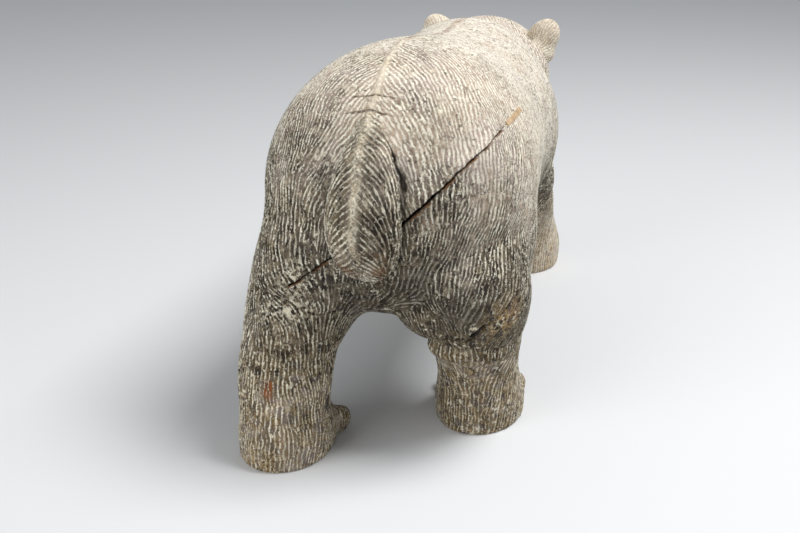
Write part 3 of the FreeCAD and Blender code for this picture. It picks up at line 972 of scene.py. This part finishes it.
def crease_haunches(skin):
    """The creases over the hind legs, and a hairline above the right one."""
    right = [(-34, 112, 92), (-51, 125, 96), (-61, 128, 97), (-70, 128, 98), (-78, 134, 108),
             (-87, 136, 116), (-93, 135, 123), (-101, 131, 132), (-106, 122, 141)]
    skin.fold(right, (0.25, 0, 1), 1.2)
    # the near-black marked into the right crease is painted shadow under the overhanging haunch
    skin.score(right, 3.0, 4.5, 0.95)
    left = [(28, 149, 122), (40, 161, 121), (51, 167, 125), (66, 167, 133), (88, 159, 136),
            (100, 146, 135)]
    skin.fold(left, (-0.1, 0, 1), 2.6)
    # the left crease is darkened less, also painted shade
    skin.score(left, 1.2, 1.4, 0.4)
    hairline = [(-32, 154, 149), (-38, 148, 140), (-46, 148, 132), (-53, 146, 123), (-63, 136, 108)]
    skin.score(hairline, 0.8, 1.4, 0.7)


def open_checks(skin):
    """The long drying check, its fork beyond the tail, and fine checks across the back."""
    def opening(t):
        return 0.45 + 0.9 * ramp(t, -238, -190)

    def fork_opening(t):
        return np.full(len(t), 0.75)

    skin.split((87.5, 0, 87.5), (1, 0, 1), (1, 0, -1), -249, -130, opening, 9.0)
    skin.split((45, 163, 158), (0.602, 0, 0.799), (0.799, 0, -0.602), -26, 27, fork_opening, 4.0)
    skin.score([(23, 131, 285.5), (2, 132, 289), (-20, 132, 285)], 0.55, 1.0, 0.45, 0.35, jag=1.6)
    skin.score([(27, 140, 274.5), (7, 141, 279), (-13, 142, 275)], 0.55, 1.0, 0.45, 0.35, jag=1.6)


def gouge_beside_tail(skin):
    """Two deep gouges at the right of the tail, and the hollows along both its edges."""
    # the dark marked into these two gouges is painted shadow
    skin.score([(-4, 152, 263), (-10, 155, 257), (-15, 157, 252), (-20, 160, 244)], 2.0, 3.0, 0.7)
    skin.score([(-14, 158, 250), (-19, 161, 243), (-23, 162, 236), (-27, 165, 226)], 2.4, 3.2, 0.75)
    right_hollow = [(-22, 162, 240), (-25, 165, 228), (-25, 168, 210), (-25, 167, 194),
                    (-22, 167, 178)]
    skin.score(right_hollow, 2.4, 1.6, 0.4)
    # painted shade along the hollows on both sides of the tail
    skin.shadow(right_hollow, 8.0, 0.6)
    skin.shadow([(34, 163, 236), (38, 167, 205), (34, 167, 172)], 8.0, 0.45)
    skin.score([(31, 163, 236), (35, 168, 210), (32, 170, 186)], 1.4, 1.2, 0.4)


# how far the ears stand from their middle, and where it is: a little to the right
EAR_SPREAD = 53
EAR_SHIFT = -6


def cut_face(skin):
    """Seams round the ear roots, the mouth and the rims of the eyes."""
    for side in (-1, 1):
        seam = [(side * (EAR_SPREAD + 17 * math.cos(a)) + EAR_SHIFT, -287, 254 + 15 * math.sin(a))
                for a in np.linspace(0, 2 * math.pi, 17)]
        skin.score(seam, 1.6, 1.8, 0.6)
        mouth = [(0, -404, 199), (side * 11, -397, 199), (side * 19, -378, 199),
                 (side * 22, -362, 196)]
        skin.score(mouth, 1.1, 2.0, 0.8)
        rim = [(side * (28 + 3 * math.sin(a)), -350 - 6.5 * math.cos(a), 243 + 7 * math.sin(a))
               for a in np.linspace(0, 2 * math.pi, 13)]
        skin.score(rim, 1.0, 0.8, 0.7)


def part_toes(skin):
    """Cuts between the toes, from the instep down to the floor."""
    for x, y in FEET:
        for reach in TOE_CUTS:
            line = [(x + s * toe_side(x, reach), y - s * (48 - TOE_ARC * reach ** 2), height)
                    for s, height in ((0.62, 36), (0.8, 27), (0.95, 18), (1.05, 4))]
            skin.score(line, 1.8, 2.4, 0.7)


PEG_PLACE = (-65, 112, 62)
PEG_RIM = 4.4


def ring_peg(skin):
    """A shallow ring round the plug in the right hind leg."""
    offset = skin.p - np.array(PEG_PLACE)
    radial = np.hypot(offset[:, 0], offset[:, 2])
    near = bell(radial - PEG_RIM, 0.9) * (np.abs(offset[:, 1]) < 14) * (skin.n[:, 1] > 0.2)
    skin.push -= 1.2 * near
    skin.mark("dark", 0.5 * near)


# (place, half sizes, strength)
RUST = (((74, 193, 67), (6, 30, 13), 1.0), ((-101, 122, 122), (8, 14, 18), 0.3))
GLUE = (((62, 168, 126), 12), ((62, 165, 148), 12), ((80, 160, 120), 10), ((-95, 130, 118), 8))
OCHRE = ((-97, 127, 117), (13, 22, 20))
DROPS = (((-76, 138, 113), (4.0, 9, 2.0)), ((-93, 101, 69), (2.8, 9, 2.8)),
         ((65, 170, 125), (2.6, 6, 2.2)), ((-45, 130, 278), (2.0, 5, 3.0)))


def stain_body(skin):
    """Rust, a pale band round the hind legs, smeared glue, an ochre patch and white drops."""
    p = skin.p
    y, z = p[:, 1], p[:, 2]
    for spot, size, strength in RUST:
        stain = ramp(1.2 - away(p, spot, size) + 0.9 * noise(p, 6, 72), 0.0, 1.0)
        skin.mark("rust", strength * stain)
    band = bell(z - 62 + 5 * noise(p, 22, 73), 9) * ramp(noise(p, 12, 74), -0.5, 0.4)
    skin.data["tone"] -= 0.28 * band * (y > HIND_FROM)
    for spot, size in GLUE:
        skin.mark("fleck", 0.9 * glow(p, spot, size))
    skin.mark("wear", glow(p, *OCHRE))
    for spot, size in DROPS:
        drop = 1 - away(p, spot, size) + 0.3 * noise(p, 2.5, 79)
        skin.mark("pale", ramp(drop, 0.0, 0.5))


def sink_joints(skin):
    """The glued joints show as faint lines."""
    y, z = skin.p[:, 1], skin.p[:, 2]
    gap = z - np.where(y > HIND_FROM, HIND_JOINT, FORE_JOINT)
    skin.push -= 0.5 * bell(gap, 1.3) * ((y > HIND_FROM) | (y < FORE_FROM))
    skin.push -= 0.4 * bell(y - NECK_JOINT, 1.2) * (z > NECK_LOW)


def work_body(skin):
    """Everything worked into the big pieces; strokes are shallow on toes and spine."""
    p = skin.p
    x, y, z = p.T
    pads = np.zeros(len(p))
    for foot, reach in itertools.product(FEET, TOES):
        pad = toe_spot(foot, reach, spread=1.06, forward=6, height=12)
        pads = np.maximum(pads, glow(p, pad, (8, 10, 11)))
    spine = bell(x - spine_x(y), 2.8) * ramp(y, 20, 60) * (1 - ramp(y, 150, 162))
    spine = spine * ramp(z, 200, 250)
    skin.strokes(stroke_depth(p, skin.n) * (1 - 0.8 * pads) * (1 - 0.6 * spine))
    colour_body(skin, pads)
    raise_ridge(skin, spine)
    crease_haunches(skin)
    open_checks(skin)
    gouge_beside_tail(skin)
    cut_face(skin)
    part_toes(skin)
    ring_peg(skin)
    stain_body(skin)
    sink_joints(skin)


def hold_joints(points, raw, p):
    """Keeps the flat faces of the joints flat, and everything above the floor."""
    planes = [
        (2, HIND_JOINT, p[:, 1] > HIND_FROM),
        (2, FORE_JOINT, p[:, 1] < FORE_FROM),
        (1, NECK_JOINT, p[:, 2] > NECK_LOW - 1),
    ]
    for axis, level, near in planes:
        hold = (np.abs(raw[:, axis] - level) < 0.01) & near
        points[hold, axis] = level
    points[:, 2] = np.maximum(points[:, 2], 0)
    return points


wood = carved_wood()
peg_wood = plain_wood("dowel_wood", srgb(164, 146, 114), srgb(98, 82, 60), 0.003)
strip_wood = plain_wood("filler_wood", srgb(206, 180, 146), srgb(168, 138, 104), 0.003)
eye_finish = bead()

cut_points, cut_faces, cut_centres = cut_cage()
membership = part_of(cut_centres)
for k, (part, node) in enumerate(PARTS.items()):
    points, faces, sharp = take(cut_points, cut_faces, np.nonzero(membership == k)[0])
    piece = fine_mesh("carved_" + part, points, faces, 2, sharp)
    raw = read_points(piece)
    skin = Skin(raw, body_field, body_combs)
    work_body(skin)
    finish_piece(piece, skin, hold_joints(skin.place(), raw, skin.p), node)


# ---- tail and ears

def small_field(node, low, high, voxel, softness):
    """One small CAD node as a field, its edges softened."""
    field = Field(low, high, voxel)
    field.value = field.from_node(node)
    field.soften(softness)
    return field


def make_small(node, field, flow, pitch, seed, work):
    """Carves one small piece from its field."""
    points, quads = field.surface()
    piece = fine_mesh("carved_" + node, points, quads[:, ::-1].tolist(), 1)
    skin = Skin(read_points(piece), field, [Comb(field, points, quads, flow, pitch, seed)])
    work(skin)
    finish_piece(piece, skin, skin.place(), node)


def work_tail(skin):
    """Feathered strokes, a pale ridge down the middle and a reddish tip."""
    p = skin.p
    x, y, z = p.T
    depth = 2.2 * (0.8 + 0.4 * noise(p, 11, 63))
    drift = 1.6 * noise(p, 14, 77)
    ridge = bell(x - tail_middle(z) - drift, 3.8) * ramp(skin.n[:, 1], 0, 0.5)
    ridge *= np.clip(0.75 + 0.6 * noise(p, 6, 78), 0, 1) * ramp(z, 165, 205)
    skin.strokes(depth * (1 - 0.4 * ridge), 0.6)
    skin.push += 1.1 * ridge
    skin.data["tone"] = np.clip(0.88 - 0.25 * ramp(z, 170, 280), 0, 1)
    crest = np.abs(np.arctan2(skin.data["wave_s"], skin.data["wave_c"])) / math.pi
    bright = 0.8 * ramp(crest, 0.70, 0.98) * ramp(noise(p, 10, 87), -0.5, 0.2)
    skin.data["pale"] = np.clip(np.maximum(1.3 * ridge, bright), 0, 1)
    skin.data["fresh"] = 0.55 * ramp(196 - z, 0, 22) * ramp(noise(p, 9, 75), 0.0, 0.6)
    skin.score([(18, 166, 180), (10, 170, 176), (2, 171, 177), (-8, 168, 183)], 0.8, 0.8, 0.2, 0.9)


TAIL_PITCH = 3.9
TAIL_SEAT = 3.0  # how far the rump reaches into the back of the tail

tail_field = small_field("tail", (-40, 90, 136), (48, 204, 300), 1.6, 2.4)
rump_there = body_field.sample(tail_field.points()).reshape(tail_field.size) + TAIL_SEAT
tail_field.value = carve_away(tail_field.value, rump_there.astype(np.float32), 1.0)
make_small("tail", tail_field, tail_flow, TAIL_PITCH, 2, work_tail)

EAR_PITCH = 3.0
EAR_MIDDLE = (-296, 261)  # station and height of the middle of each ear


def make_ear(side, node):
    """One ear: a rounded leaf with a hollow front and a full root, its strokes fanned out."""
    middle = side * EAR_SPREAD + EAR_SHIFT
    root = np.array((side * 46 + EAR_SHIFT, -293, 246.0))

    def ear_flow(p, n):
        return tangent(p - root + 3 * wander(p, 12, 41), n)

    def work_ear(skin):
        p = skin.p
        skin.strokes(0.32 * (0.8 + 0.4 * noise(p, 9, 64)))
        skin.data["tone"] = np.clip(0.1 + 0.2 * noise(p, 12, 65), 0, 1)
        skin.data["pale"][:] = 0.5
        rim = ramp(np.linalg.norm(p - np.array((middle, *EAR_MIDDLE)), axis=1), 17, 21)
        skin.data["rust"] = 0.5 * rim * ramp(noise(p, 7, 66), 0.1, 0.6)

    low = (side * EAR_SPREAD - 40, -330, 236)
    high = (side * EAR_SPREAD + 28, -262, 298)
    ear = small_field(node, low, high, 1.4, 1.8)
    bowl = ear.ellipsoid((middle + side, -308, 263), (11, 8.0, 14))
    ear.value = carve_away(ear.value, bowl, 2.5)
    full_root = ear.ellipsoid((middle - 3 * side, -292, 247), (17, 10, 13))
    ear.value = blend(ear.value, full_root, 5.0)
    make_small(node, ear, ear_flow, EAR_PITCH, 3 + side, work_ear)


for side, node in EARS.items():
    make_ear(side, node)


# ---- plugs, strip and eyes

def dress(node, material):
    """Gives a CAD node a material, without touching its mesh."""
    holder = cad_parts[node]
    if not holder.material_slots:
        holder.data.materials.append(material)
    for place in holder.material_slots:
        place.link = "OBJECT"
        place.material = material


for node in ("leg_dowels", "neck_dowels", "ear_dowels", "tail_dowels", "leg_peg"):
    dress(node, peg_wood)
dress("filler_strip", strip_wood)
for node in ("eye_left", "eye_right"):
    dress(node, eye_finish)

# ---- floor, light, camera

def make_floor():
    bm = bmesh.new()
    bmesh.ops.create_grid(bm, x_segments=1, y_segments=1, size=40.0)
    data = bpy.data.meshes.new("floor")
    bm.to_mesh(data)
    bm.free()
    data.materials.append(Finish("floor").done((0.72, 0.73, 0.74), 0.8, shine=0.5))
    put("floor", data)


def area_light(name, place, aim, size, power):
    light = bpy.data.lights.new(name, "AREA")
    light.energy = power
    light.size = size
    holder = put(name, light)
    holder.location = place
    direction = Vector(aim) - Vector(place)
    holder.rotation_euler = direction.to_track_quat("-Z", "Y").to_euler()


make_floor()
area_light("key", (-0.85, 0.0, 1.9), (0, 0.1, 0.2), 0.9, 40)
area_light("fill", (1.0, 1.8, 0.9), (0, 0.1, 0.15), 1.4, 17)
world = bpy.data.worlds.new("studio")
world.use_nodes = True
sky = world.node_tree.nodes["Background"].inputs
sky["Color"].default_value = (0.8, 0.82, 0.85, 1)
sky["Strength"].default_value = 0.4
bpy.context.scene.world = world
bpy.context.scene.view_settings.view_transform = "Standard"

# Camera: behind the bear and a little to its right, looking down.
CAMERA_PITCH = 19.74
CAMERA_YAW = 13.86
CAMERA_ROLL = 0.37
CAMERA_PLACE = (-241.6, 1049.7, 495.0)
CAMERA_LENS = 58.94

camera_data = bpy.data.cameras.new("camera")
camera_data.sensor_width = 36.0
camera_data.lens = CAMERA_LENS
camera = put("camera", camera_data)
yaw, pitch, roll = (math.radians(a) for a in (CAMERA_YAW, CAMERA_PITCH, CAMERA_ROLL))
flat = math.cos(pitch)
forward = Vector((math.sin(yaw) * flat, -math.cos(yaw) * flat, -math.sin(pitch)))
turn = forward.to_track_quat("-Z", "Y").to_matrix().to_4x4()
place = Vector(CAMERA_PLACE) + Vector((0, STATION_ORIGIN, 0))
camera.matrix_world = Matrix.Translation(place * MM) @ turn @ Matrix.Rotation(roll, 4, "Z")
bpy.context.scene.camera = camera
